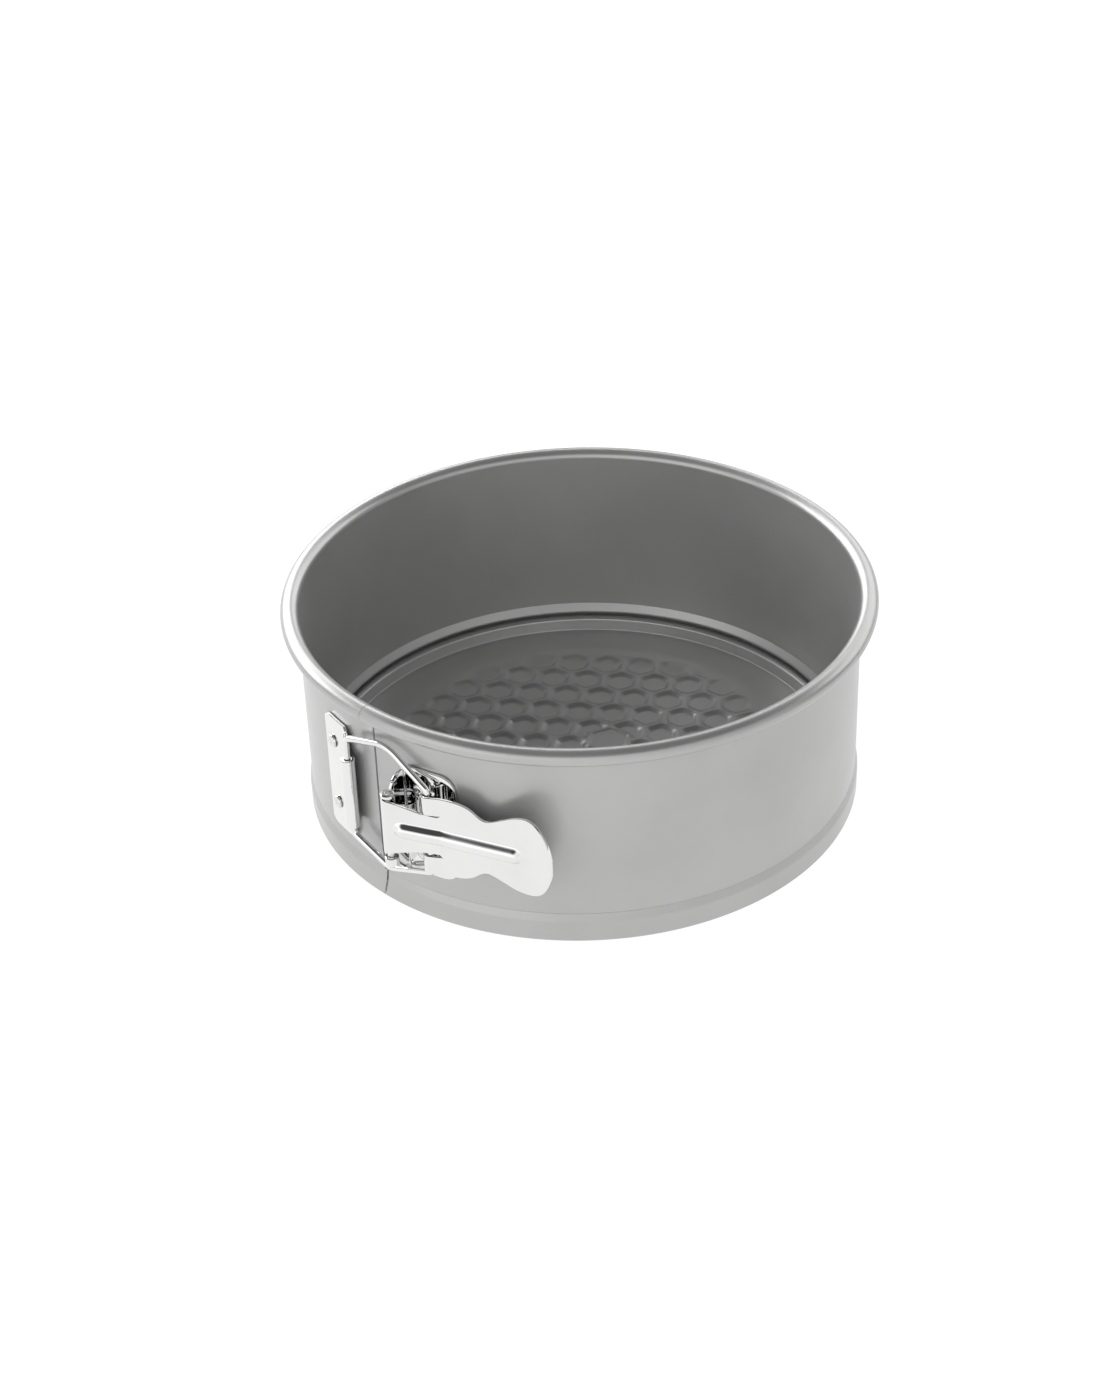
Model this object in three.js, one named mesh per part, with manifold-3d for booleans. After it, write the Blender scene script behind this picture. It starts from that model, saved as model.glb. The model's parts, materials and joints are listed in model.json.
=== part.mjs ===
// Springform cake pan: a split band of spring steel, pulled shut by an over-centre toggle
// latch around a removable dished base plate. Millimetres, +Z up. The pan stands on its foot
// at Z 0, and the split in the band faces -Y. Azimuths are measured from the split, round the
// pan's axis, towards +X.

import * as THREE from "three";
import { mergeVertices } from "three/addons/utils/BufferGeometryUtils.js";
import Module from "manifold-3d";

const wasm = await Module();
wasm.setup();

// ---------------------------------------------------------------- driving dimensions

const HEIGHT = 72.1;
const RIM_RADIUS = 95;
const WALL_RADIUS = 89.7;
const SHEET = 0.6;
const GAP = 0.3;

const CURL_HALF_HEIGHT = 2.65;
const SKIRT_RADIUS = 90.4;
const SHOULDER_HEIGHT = 7.2;
const CREASE_HEIGHT = 9.9;
const BEAD_RADIUS = 1.5;
const BEAD_HEIGHT = 9.3;
const GROOVE_RADIUS = 89.2;
const LEDGE_TOP = 6.1;
const LEDGE_RADIUS = 86.1;
const HEM_WIDTH = 1.4;

const BASE_RADIUS = 87.2;
const FLANGE_TOP = 7;
const FLOOR_TOP = 2.5;
const FLOOR_RADIUS = 84.2;

const SEGMENTS_IN_BAND = 5;
const SPLIT_WIDTH = 0.5;
const FLEX_GAP = 0.4;
const ROUND_STEPS = 72;

const LATCH_Z = 36.5;
const PLATE = 0.9;
const WIRE_RADIUS = 1.05;
const CURL_RADIUS = WIRE_RADIUS + GAP + PLATE / 2;
const CURL_TURN = 290;

const HOOK_AXIS = new THREE.Vector2(-9.5, -93);
const HOOK_HALF = 12.5;
const HOOK_TURN = 240;
const BAIL_PLATE_AZIMUTH = -16.3;
const BAIL_PLATE_HALF = 20.5;
const BAIL_RIVET_AZIMUTH = -13.4;

const FULCRUM = new THREE.Vector2(13.36, -97.75);
const LINK = 12.2;
const LINK_HEADING = 33.3;
const BARREL_HALF = 10.4;
const EAR_HALF = 13.2;
const FULCRUM_PLATE_AZIMUTH = 19.4;
const FULCRUM_PLATE_HALF = 19;
const FULCRUM_RIVET_AZIMUTH = 11.6;
const RIB_RADIUS = 97.6;
const RIB_HALF = 17.8;

const TONGUE_LENGTH = 16.5;
const BODY_LENGTH = 28.8;
const TAB_LENGTH = 8.7;
const BODY_HEADING = 20.5;
const TAB_HEADING = 2;
const KNUCKLE_INNER = 7.7;
const KNUCKLE_OUTER = 13.9;
const SHOULDER_OVERLAP = 2.5;
const SHOULDER_HALF = 13.7;
const SLOT_WIDTH = 0.9;
const SLOT_END = 28.2;
const WAIST_HALF = 9.5;
const TAB_CENTRE = 54;
const TAB_HALF = 13.7;
const TAB_REACH = 9.9;

const LEG_TOP = 20.2;
const LEG_BOTTOM = -15.2;
const FLARE_HIGH = new THREE.Vector2(7.4, -91.8);
const FLARE_TOP = 26;
const FLARE_LOW = new THREE.Vector2(5.6, -92.2);
const FLARE_BOTTOM = -22.6;
const BAIL_END = KNUCKLE_INNER - 0.4;
const BAIL_ELBOW = KNUCKLE_OUTER + 1.2;

const RIVET_SPACING = 23;
const RIVET_SHANK = 1.5;
const RIVET_HEAD = 2.2;

const LATCH_REACH = 60;
const POST_STEPS = 20;
const RIVET_STEPS = 16;
const BEND_STEP = 20;

// ---------------------------------------------------------------- worked-out values

const wallInner = WALL_RADIUS - SHEET;
const plateInner = WALL_RADIUS + GAP;
const plateMiddle = plateInner + PLATE / 2;
const plateOuter = plateInner + PLATE;
const barrelOuter = CURL_RADIUS + PLATE / 2;
const barrelBore = CURL_RADIUS - PLATE / 2;
const linkDirection = heading(LINK_HEADING);
const knuckleAxis = FULCRUM.clone().addScaledVector(linkDirection, LINK);
const latchFront = FULCRUM.y - barrelOuter;

// ---------------------------------------------------------------- small helpers

function radians(degrees) {
  return THREE.MathUtils.degToRad(degrees);
}

function heading(degrees) {
  return new THREE.Vector2(Math.cos(radians(degrees)), Math.sin(radians(degrees)));
}

function atAzimuth(azimuth, radius) {
  const angle = radians(azimuth);
  return new THREE.Vector2(radius * Math.sin(angle), -radius * Math.cos(angle));
}

function azimuthOf(point) {
  return THREE.MathUtils.radToDeg(Math.atan2(point.x, -point.y));
}

function outline(points) {
  return new THREE.Shape(points.map((p) => (p.isVector2 ? p : new THREE.Vector2(...p))));
}

// ---------------------------------------------------------------- solids

// A closed geometry becomes a solid: welded, and without the empty triangles on a lathe's axis.
function solid(geometry) {
  const bare = geometry.clone();
  bare.deleteAttribute("normal");
  bare.deleteAttribute("uv");
  const welded = mergeVertices(bare);
  const corners = [];
  for (let i = 0; i < welded.index.count; i += 3) {
    const triangle = [0, 1, 2].map((k) => welded.index.getX(i + k));
    if (new Set(triangle).size === 3) {
      corners.push(...triangle);
    }
  }
  const mesh = new wasm.Mesh({
    numProp: 3,
    vertProperties: new Float32Array(welded.attributes.position.array),
    triVerts: new Uint32Array(corners),
  });
  return new wasm.Manifold(mesh);
}

function join(solids) {
  return solids.reduce((whole, piece) => whole.add(piece));
}

function cut(whole, cutters) {
  return cutters.reduce((rest, cutter) => rest.subtract(cutter), whole);
}

// A profile of [radius, height] points turned round the Z axis.
function turned(profile, steps) {
  const points = profile.map(([radius, height]) => new THREE.Vector2(radius, height));
  return new THREE.LatheGeometry(points, steps).rotateX(Math.PI / 2);
}

function upright(shape, low, high) {
  const geometry = new THREE.ExtrudeGeometry(shape, { depth: high - low, bevelEnabled: false });
  return solid(geometry.translate(0, 0, low));
}

// A shape drawn in X and Z, pushed through the latch side of the pan.
function crosswise(shape) {
  const options = { depth: LATCH_REACH, bevelEnabled: false };
  const geometry = new THREE.ExtrudeGeometry(shape, options);
  return solid(geometry.rotateX(Math.PI / 2).translate(0, -LATCH_REACH, 0));
}

// A cylinder whose axis is upright, standing at a point of the plan.
function post(centre, radius, low, high) {
  const geometry = new THREE.CylinderGeometry(radius, radius, high - low, POST_STEPS);
  geometry.rotateX(Math.PI / 2).translate(centre.x, centre.y, (low + high) / 2);
  return solid(geometry);
}

// A profile of [radius, distance from the pan's axis] points turned round a radial axis.
function radial(profile, azimuth, z) {
  const geometry = turned(profile, RIVET_STEPS).rotateX(Math.PI / 2);
  return geometry.translate(0, 0, z).rotateZ(radians(azimuth));
}

function drill(azimuth, z) {
  const radius = RIVET_SHANK + GAP;
  const profile = [[0, wallInner - 3], [radius, wallInner - 3], [radius, plateOuter + 3], [0, plateOuter + 3]];
  return solid(radial(profile, azimuth, z));
}

// The middle line of a bent sheet, seen from above: straight runs, and bends of a radius
// and a turn in degrees, which is positive to the left.
function sheetPath(start, startHeading, moves) {
  const points = [start.clone()];
  let facing = startHeading;
  for (const move of moves) {
    const from = points.at(-1);
    if (move.run) {
      points.push(from.clone().addScaledVector(heading(facing), move.run));
      continue;
    }
    const side = Math.sign(move.turn);
    const centre = from.clone().addScaledVector(heading(facing + 90 * side), move.radius);
    const steps = Math.ceil(Math.abs(move.turn) / BEND_STEP);
    for (let i = 1; i <= steps; i += 1) {
      const outward = heading(facing + (move.turn * i) / steps - 90 * side);
      points.push(centre.clone().addScaledVector(outward, move.radius));
    }
    facing += move.turn;
  }
  return points;
}

// A sheet of even thickness along a middle line.
function ribbon(points, thickness) {
  const left = [];
  const right = [];
  points.forEach((point, i) => {
    const before = points[Math.max(i - 1, 0)];
    const after = points[Math.min(i + 1, points.length - 1)];
    const arriving = i > 0 ? point.clone().sub(before).normalize() : after.clone().sub(point).normalize();
    const leaving = i < points.length - 1 ? after.clone().sub(point).normalize() : arriving;
    const along = arriving.clone().add(leaving).normalize();
    const reach = thickness / 2 / along.dot(leaving);
    const across = new THREE.Vector2(-along.y, along.x).multiplyScalar(reach);
    left.push(point.clone().add(across));
    right.push(point.clone().sub(across));
  });
  return outline([...left, ...right.reverse()]);
}

// An outline that is the same above and below the latch's middle plane, given as
// [x, half height] points.
function mirrored(points) {
  const upper = points.map(([x, half]) => [x, LATCH_Z + half]);
  const lower = points.map(([x, half]) => [x, LATCH_Z - half]).reverse();
  return outline([...upper, ...lower]);
}

// ---------------------------------------------------------------- band

function bandProfile() {
  const curlMiddle = (RIM_RADIUS + wallInner) / 2;
  const curlHalfWidth = (RIM_RADIUS - wallInner) / 2;
  const curlHeight = HEIGHT - CURL_HALF_HEIGHT;
  const meeting = Math.acos((WALL_RADIUS - curlMiddle) / curlHalfWidth);
  const curl = [[WALL_RADIUS, curlHeight - CURL_HALF_HEIGHT * Math.sin(meeting)]];
  for (let angle = -120; angle <= 180; angle += 30) {
    const direction = heading(angle);
    curl.push([curlMiddle + curlHalfWidth * direction.x, curlHeight + CURL_HALF_HEIGHT * direction.y]);
  }
  const bead = [];
  for (let angle = 90; angle <= 240; angle += 30) {
    const direction = heading(angle);
    bead.push([wallInner + BEAD_RADIUS * direction.x, BEAD_HEIGHT + BEAD_RADIUS * direction.y]);
  }
  return [
    [SKIRT_RADIUS, 0],
    [SKIRT_RADIUS, SHOULDER_HEIGHT],
    [WALL_RADIUS - 0.1, CREASE_HEIGHT - 1],
    [WALL_RADIUS - 0.4, CREASE_HEIGHT],
    [WALL_RADIUS, CREASE_HEIGHT + 1],
    ...curl,
    ...bead,
    [GROOVE_RADIUS, SHOULDER_HEIGHT],
    [GROOVE_RADIUS, LEDGE_TOP],
    [LEDGE_RADIUS, LEDGE_TOP],
    [LEDGE_RADIUS, LEDGE_TOP - PLATE],
    [SKIRT_RADIUS - HEM_WIDTH, LEDGE_TOP - PLATE],
    [SKIRT_RADIUS - HEM_WIDTH, 0],
  ];
}

// A wedge from the pan's axis that keeps the band between two azimuths.
function wedge(from, to) {
  const far = 2 * RIM_RADIUS;
  const shape = outline([[0, 0], atAzimuth(from, far), atAzimuth((from + to) / 2, far), atAzimuth(to, far)]);
  return upright(shape, -1, HEIGHT + 1);
}

// The band is one spring. It is held here as stiff segments with a flex line between them.
function bandSegments() {
  const profile = bandProfile();
  const holes = [];
  for (const azimuth of [BAIL_RIVET_AZIMUTH, FULCRUM_RIVET_AZIMUTH]) {
    holes.push(...rivetHeights().map((z) => drill(azimuth, z)));
  }
  const ring = cut(solid(turned([...profile, profile[0]], ROUND_STEPS)), holes);
  const span = 360 / SEGMENTS_IN_BAND;
  const perMillimetre = 180 / Math.PI / WALL_RADIUS;
  const names = ["front_right", "rear_right", "back", "rear_left", "front_left"];
  return names.map((name, i) => {
    const startGap = i === 0 ? SPLIT_WIDTH : FLEX_GAP;
    const endGap = i === names.length - 1 ? SPLIT_WIDTH : FLEX_GAP;
    const from = i * span + (startGap / 2) * perMillimetre;
    const to = (i + 1) * span - (endGap / 2) * perMillimetre;
    return [`band_${name}`, ring.intersect(wedge(from, to))];
  });
}

// ---------------------------------------------------------------- base plate

function basePlate() {
  const floorBottom = FLOOR_TOP - SHEET;
  const flangeBottom = FLANGE_TOP - SHEET;
  const profile = [
    [0, floorBottom],
    [FLOOR_RADIUS + 0.4, floorBottom],
    [FLOOR_RADIUS + 0.7, floorBottom + 0.4],
    [FLOOR_RADIUS + 1.3, flangeBottom],
    [BASE_RADIUS, flangeBottom],
    [BASE_RADIUS, FLANGE_TOP],
    [FLOOR_RADIUS + 1.2, FLANGE_TOP],
    [FLOOR_RADIUS + 0.7, FLANGE_TOP - 0.4],
    [FLOOR_RADIUS, FLOOR_TOP + 0.5],
    [FLOOR_RADIUS - 0.4, FLOOR_TOP],
    [0, FLOOR_TOP],
  ];
  return solid(turned(profile, ROUND_STEPS));
}

// ---------------------------------------------------------------- rivets and pin

function rivetHeights() {
  return [LATCH_Z - RIVET_SPACING / 2, LATCH_Z + RIVET_SPACING / 2];
}

function rivet(azimuth, z) {
  const insideFace = wallInner - GAP;
  const outsideFace = plateOuter + GAP;
  const profile = [
    [0, insideFace - SHEET],
    [RIVET_HEAD + 0.2, insideFace - SHEET],
    [RIVET_HEAD + 0.2, insideFace],
    [RIVET_SHANK, insideFace],
    [RIVET_SHANK, outsideFace],
    [RIVET_HEAD, outsideFace],
    [RIVET_HEAD - 0.2, outsideFace + 0.5],
    [RIVET_HEAD - 0.9, outsideFace + 0.8],
    [0, outsideFace + 0.9],
  ];
  return solid(radial(profile, azimuth, z));
}

function hingePin() {
  return post(FULCRUM, WIRE_RADIUS, LATCH_Z - EAR_HALF - 0.4, LATCH_Z + EAR_HALF + 0.4);
}

// ---------------------------------------------------------------- bail side of the latch

// A plate riveted to the wall, whose free end steps outward and curls round the bail's leg.
function bailBracket() {
  const hookAzimuth = azimuthOf(HOOK_AXIS);
  const stepOut = HOOK_AXIS.length() - CURL_RADIUS - plateMiddle;
  const stepStart = hookAzimuth - 3.6;
  const path = [];
  const steps = 16;
  for (let i = 0; i < steps; i += 1) {
    const azimuth = THREE.MathUtils.lerp(BAIL_PLATE_AZIMUTH, hookAzimuth, i / steps);
    const rise = THREE.MathUtils.smoothstep(azimuth, stepStart, hookAzimuth - 0.8);
    path.push(atAzimuth(azimuth, plateMiddle + stepOut * rise));
  }
  const hookStart = atAzimuth(hookAzimuth, HOOK_AXIS.length() - CURL_RADIUS);
  path.push(...sheetPath(hookStart, hookAzimuth, [{ radius: CURL_RADIUS, turn: -HOOK_TURN }]));
  const sheet = upright(ribbon(path, PLATE), 0, HEIGHT);
  const left = atAzimuth(BAIL_PLATE_AZIMUTH, plateOuter).x - 1;
  const neck = HOOK_AXIS.x - barrelOuter;
  const face = mirrored([
    [left, BAIL_PLATE_HALF - 2],
    [left + 3, BAIL_PLATE_HALF],
    [neck - 1.6, BAIL_PLATE_HALF],
    [neck - 0.2, BAIL_PLATE_HALF - 2.2],
    [neck - 0.2, HOOK_HALF],
    [HOOK_AXIS.x + barrelOuter + 1, HOOK_HALF],
  ]);
  return cut(sheet.intersect(crosswise(face)), rivetHeights().map((z) => drill(BAIL_RIVET_AZIMUTH, z)));
}

// A wire loop: one upright leg in the hook, two arms that flare and then close in, and ends
// turned towards each other inside the lever's knuckles. The leg's end of the loop sits high.
function bailWire() {
  const corner = (plan, height, radius) => ({
    at: new THREE.Vector3(plan.x, plan.y, LATCH_Z + height),
    radius,
  });
  const corners = [
    corner(knuckleAxis, -BAIL_END, 0),
    corner(knuckleAxis, -BAIL_ELBOW, 2),
    corner(FLARE_LOW, FLARE_BOTTOM, 4),
    corner(HOOK_AXIS, LEG_BOTTOM, 2.4),
    corner(HOOK_AXIS, LEG_TOP, 3),
    corner(FLARE_HIGH, FLARE_TOP, 5.5),
    corner(knuckleAxis, BAIL_ELBOW, 2),
    corner(knuckleAxis, BAIL_END, 0),
  ];
  const path = new THREE.CurvePath();
  let from = corners[0].at;
  for (let i = 1; i < corners.length - 1; i += 1) {
    const { at, radius } = corners[i];
    const arrive = at.clone().sub(corners[i - 1].at).setLength(radius);
    const leave = corners[i + 1].at.clone().sub(at).setLength(radius);
    const bendStart = at.clone().sub(arrive);
    const bendEnd = at.clone().add(leave);
    path.add(new THREE.LineCurve3(from, bendStart));
    path.add(new THREE.QuadraticBezierCurve3(bendStart, at, bendEnd));
    from = bendEnd;
  }
  path.add(new THREE.LineCurve3(from, corners.at(-1).at));
  const section = new THREE.Shape().absarc(0, 0, WIRE_RADIUS, 0, 2 * Math.PI);
  const options = { steps: 80, curveSegments: 5, bevelEnabled: false, extrudePath: path };
  return solid(new THREE.ExtrudeGeometry(section, options));
}

// ---------------------------------------------------------------- lever side of the latch

// The middle line of a sheet curled round an axis on the link line, which leaves along the link.
function curledPath(axis, moves) {
  const startHeading = LINK_HEADING - CURL_TURN;
  const start = axis.clone().addScaledVector(heading(startHeading - 90), CURL_RADIUS);
  return sheetPath(start, startHeading, [{ radius: CURL_RADIUS, turn: CURL_TURN }, ...moves]);
}

// The lever's middle line: the barrel's curl, the straight tongue, the body and the thumb tab.
function leverPath() {
  const firstBend = { radius: 6, turn: BODY_HEADING - LINK_HEADING };
  const tabBend = { radius: 14, turn: TAB_HEADING - BODY_HEADING };
  const tangent = (bend) => bend.radius * Math.tan(radians(Math.abs(bend.turn) / 2));
  return curledPath(FULCRUM, [
    { run: TONGUE_LENGTH - tangent(firstBend) },
    firstBend,
    { run: BODY_LENGTH - tangent(firstBend) - tangent(tabBend) },
    tabBend,
    { run: TAB_LENGTH - tangent(tabBend) },
  ]);
}

function leverFace() {
  const waist = new THREE.SplineCurve([
    new THREE.Vector2(33.7, SHOULDER_HALF),
    new THREE.Vector2(37.2, 12.5),
    new THREE.Vector2(40.3, 10),
    new THREE.Vector2(42.5, WAIST_HALF),
    new THREE.Vector2(46.8, 11.3),
    new THREE.Vector2(50.5, 13),
    new THREE.Vector2(TAB_CENTRE, TAB_HALF),
  ]);
  const tip = new THREE.EllipseCurve(TAB_CENTRE, 0, TAB_REACH, TAB_HALF, Math.PI / 2, 0.02, true);
  const curved = [...waist.getPoints(14), ...tip.getPoints(10).slice(1)];
  const slotInner = KNUCKLE_INNER - SLOT_WIDTH;
  return mirrored([
    [FULCRUM.x - 8, BARREL_HALF],
    [FULCRUM.x - 0.4, BARREL_HALF],
    [knuckleAxis.x - 1, slotInner + 0.3],
    [SLOT_END - 0.6, slotInner],
    [SLOT_END, slotInner + SLOT_WIDTH / 2],
    [SLOT_END - 0.6, KNUCKLE_INNER],
    [knuckleAxis.x + 0.9, KNUCKLE_INNER],
    [knuckleAxis.x + 0.9, KNUCKLE_OUTER],
    [SLOT_END, SHOULDER_HALF],
    ...curved.map((p) => [p.x, p.y]),
  ]);
}

// The lever is one stamping: a tongue curled round the hinge pin, shoulders curled round the
// bail's two ends, a waist and a thumb tab that stands off the wall.
function lever() {
  const sheet = upright(ribbon(leverPath(), PLATE), 0, HEIGHT);
  const shoulderPath = curledPath(knuckleAxis, [{ run: SHOULDER_OVERLAP }]);
  const knuckles = [-1, 1].map((side) => {
    const ends = [LATCH_Z + side * KNUCKLE_INNER, LATCH_Z + side * KNUCKLE_OUTER];
    return upright(ribbon(shoulderPath, PLATE), Math.min(...ends), Math.max(...ends));
  });
  return join([sheet.intersect(crosswise(leverFace())), ...knuckles]);
}

// A plate riveted to the wall, with a rib bent outward at its free end. Two ears on the rib
// hold the hinge pin above and below the lever's barrel.
function fulcrumBracket() {
  const ribAzimuth = azimuthOf(FULCRUM);
  const ring = [
    [plateInner, 0],
    [plateOuter, 0],
    [plateOuter, HEIGHT],
    [plateInner, HEIGHT],
    [plateInner, 0],
  ];
  const left = atAzimuth(ribAzimuth, plateMiddle).x - PLATE / 2;
  const right = atAzimuth(FULCRUM_PLATE_AZIMUTH, plateOuter).x;
  const face = mirrored([
    [left, FULCRUM_PLATE_HALF - 1],
    [left + 2, FULCRUM_PLATE_HALF],
    [right - 5, FULCRUM_PLATE_HALF],
    [right - 1.5, FULCRUM_PLATE_HALF - 1.5],
    [right, FULCRUM_PLATE_HALF - 5],
  ]);
  const plate = solid(turned(ring, ROUND_STEPS)).intersect(crosswise(face));
  const notch = FULCRUM.length() - barrelOuter - GAP;
  const ribShape = mirrored([
    [plateMiddle, RIB_HALF],
    [RIB_RADIUS - 5, RIB_HALF - 0.2],
    [RIB_RADIUS - 2.6, RIB_HALF - 1],
    [RIB_RADIUS - 0.8, RIB_HALF - 2.6],
    [RIB_RADIUS, EAR_HALF],
    [RIB_RADIUS, BARREL_HALF + GAP],
    [notch, BARREL_HALF + GAP],
  ]);
  const rib = new THREE.ExtrudeGeometry(ribShape, { depth: PLATE, bevelEnabled: false });
  rib.translate(0, 0, -PLATE / 2).rotateX(Math.PI / 2).rotateZ(radians(ribAzimuth - 90));
  const ears = [-1, 1].map((side) => {
    const ends = [LATCH_Z + side * (BARREL_HALF + GAP), LATCH_Z + side * EAR_HALF];
    return post(FULCRUM, barrelOuter - 0.2, Math.min(...ends), Math.max(...ends));
  });
  const bore = post(FULCRUM, barrelBore, 0, HEIGHT);
  const holes = rivetHeights().map((z) => drill(FULCRUM_RIVET_AZIMUTH, z));
  return cut(join([plate, solid(rib), ...ears]), [bore, ...holes]);
}

// ---------------------------------------------------------------- assembly

const coatedSteel = new THREE.MeshStandardMaterial({ color: 0xb4b3b2, roughness: 0.42, metalness: 0.75 });
const coatedBase = new THREE.MeshStandardMaterial({ color: 0xa09f9e, roughness: 0.45, metalness: 0.75 });
const chrome = new THREE.MeshStandardMaterial({ color: 0xe6e6e6, roughness: 0.12, metalness: 1 });
const bareSteel = new THREE.MeshStandardMaterial({ color: 0xc8c8c8, roughness: 0.3, metalness: 1 });

function meshOf(name, body, material) {
  const { vertProperties, triVerts } = body.getMesh();
  const geometry = new THREE.BufferGeometry();
  geometry.setAttribute("position", new THREE.BufferAttribute(vertProperties, 3));
  geometry.setIndex(new THREE.BufferAttribute(triVerts, 1));
  geometry.computeVertexNormals();
  const mesh = new THREE.Mesh(geometry, material);
  mesh.name = name;
  return mesh;
}

const pan = new THREE.Group();

for (const [name, body] of bandSegments()) {
  pan.add(meshOf(name, body, coatedSteel));
}
pan.add(meshOf("base_plate", basePlate(), coatedBase));
pan.add(meshOf("bail_bracket", bailBracket(), chrome));
pan.add(meshOf("bail_wire", bailWire(), chrome));
pan.add(meshOf("fulcrum_bracket", fulcrumBracket(), chrome));
pan.add(meshOf("hinge_pin", hingePin(), bareSteel));
pan.add(meshOf("lever", lever(), chrome));

const rivetRows = { bail: BAIL_RIVET_AZIMUTH, fulcrum: FULCRUM_RIVET_AZIMUTH };
for (const [side, azimuth] of Object.entries(rivetRows)) {
  rivetHeights().forEach((z, i) => {
    const place = i === 0 ? "lower" : "upper";
    pan.add(meshOf(`${side}_rivet_${place}`, rivet(azimuth, z), bareSteel));
  });
}

// The origin is the middle of the outline box on the ground, so the pan's axis stands behind
// it by half of what the latch adds at the front.
pan.position.y = -(RIM_RADIUS + latchFront) / 2;

export default pan;
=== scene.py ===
"""Springform cake pan: a coated, split band with a rolled rim, a lift-out base plate embossed
with a honeycomb, and a chromed over-centre toggle latch. Metres, +Z up, split facing -Y.

Azimuths are in degrees round the pan's axis, from the split at -Y towards +X.
"""

import json
import math

import bmesh
import bpy
from mathutils import Matrix, Vector
from mathutils.geometry import tessellate_polygon


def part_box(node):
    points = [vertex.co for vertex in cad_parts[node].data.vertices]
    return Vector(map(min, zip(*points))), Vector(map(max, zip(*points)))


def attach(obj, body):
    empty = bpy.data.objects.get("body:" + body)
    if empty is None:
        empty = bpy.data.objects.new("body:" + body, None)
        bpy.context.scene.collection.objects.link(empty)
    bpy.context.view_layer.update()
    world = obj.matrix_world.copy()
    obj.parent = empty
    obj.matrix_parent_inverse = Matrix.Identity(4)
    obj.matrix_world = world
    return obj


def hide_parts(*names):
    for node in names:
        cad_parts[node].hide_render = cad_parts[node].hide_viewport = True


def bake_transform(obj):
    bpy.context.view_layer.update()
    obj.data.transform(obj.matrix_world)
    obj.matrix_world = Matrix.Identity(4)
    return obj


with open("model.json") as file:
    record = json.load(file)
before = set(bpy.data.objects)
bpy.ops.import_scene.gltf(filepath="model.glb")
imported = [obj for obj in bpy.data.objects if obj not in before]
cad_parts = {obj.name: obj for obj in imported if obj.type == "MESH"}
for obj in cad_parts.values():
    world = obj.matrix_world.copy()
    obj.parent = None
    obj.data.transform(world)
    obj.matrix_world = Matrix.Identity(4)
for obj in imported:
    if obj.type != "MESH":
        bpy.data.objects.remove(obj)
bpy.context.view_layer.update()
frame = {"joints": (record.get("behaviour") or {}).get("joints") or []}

MM = 0.001

# ---------------------------------------------------------------- sizes from the frame

BAND_NODES = ["band_front_right", "band_rear_right", "band_back", "band_rear_left",
              "band_front_left"]
band_boxes = [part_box(node) for node in BAND_NODES]
band_low = Vector([min(low[i] for low, high in band_boxes) for i in range(3)])
band_high = Vector([max(high[i] for low, high in band_boxes) for i in range(3)])
base_low, base_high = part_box("base_plate")
bail_low, bail_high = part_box("bail_wire")
pin_low, pin_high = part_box("hinge_pin")
joints = {joint["name"]: joint for joint in frame["joints"]}

AXIS = Vector((0, (band_low.y + band_high.y) / 2))
RIM_RADIUS = (band_high.x - band_low.x) / 2
HEIGHT = band_high.z
RIM_OVERHANG = 5.3 * MM
WALL_RADIUS = RIM_RADIUS - RIM_OVERHANG
SKIRT_RADIUS = WALL_RADIUS + 0.7 * MM
SHEET = 0.6 * MM
BASE_RADIUS = (base_high.x - base_low.x) / 2
FLANGE_TOP = base_high.z
FLOOR_TOP = base_low.z + SHEET
LATCH_Z = (pin_low.z + pin_high.z) / 2
PLATE = 0.9 * MM
WIRE = 1.05 * MM
CURL = 1.8 * MM
FULCRUM = Vector(joints["lever_pivot"]["pos_m"][:2]) - AXIS
KNUCKLE = Vector(joints["bail_pivot"]["pos_m"][:2]) - AXIS
BARREL = CURL + PLATE / 2


# ---------------------------------------------------------------- plane geometry

def heading(degrees):
    return Vector((math.cos(math.radians(degrees)), math.sin(math.radians(degrees))))


def at_azimuth(azimuth, radius):
    """A point of the plan, measured from the pan's axis."""
    return heading(azimuth - 90) * radius


def azimuth_of(point):
    return math.degrees(math.atan2(point.x, -point.y))


def smoothstep(x, low, high):
    t = min(max((x - low) / (high - low), 0), 1)
    return t * t * (3 - 2 * t)


def lerp_table(x, table):
    """The value at x on straight lines between (x, value) pairs in rising order of x."""
    if x <= table[0][0]:
        return table[0][1]
    for (x0, y0), (x1, y1) in zip(table, table[1:]):
        if x <= x1:
            return y0 + (y1 - y0) * (x - x0) / (x1 - x0)
    return table[-1][1]


def smooth_table(x, table):
    """The value at x on a smooth curve through (x, value) pairs in rising order of x."""
    if x <= table[0][0]:
        return table[0][1]
    slopes = []
    for i in range(len(table)):
        (x0, y0), (x1, y1) = table[max(i - 1, 0)], table[min(i + 1, len(table) - 1)]
        slopes.append((y1 - y0) / (x1 - x0))
    for i, ((x0, y0), (x1, y1)) in enumerate(zip(table, table[1:])):
        if x <= x1:
            span = x1 - x0
            t = (x - x0) / span
            ease = t * t * (3 - 2 * t)
            lead = (t ** 3 - 2 * t * t + t) * slopes[i] + (t ** 3 - t * t) * slopes[i + 1]
            return y0 + (y1 - y0) * ease + lead * span
    return table[-1][1]


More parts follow.
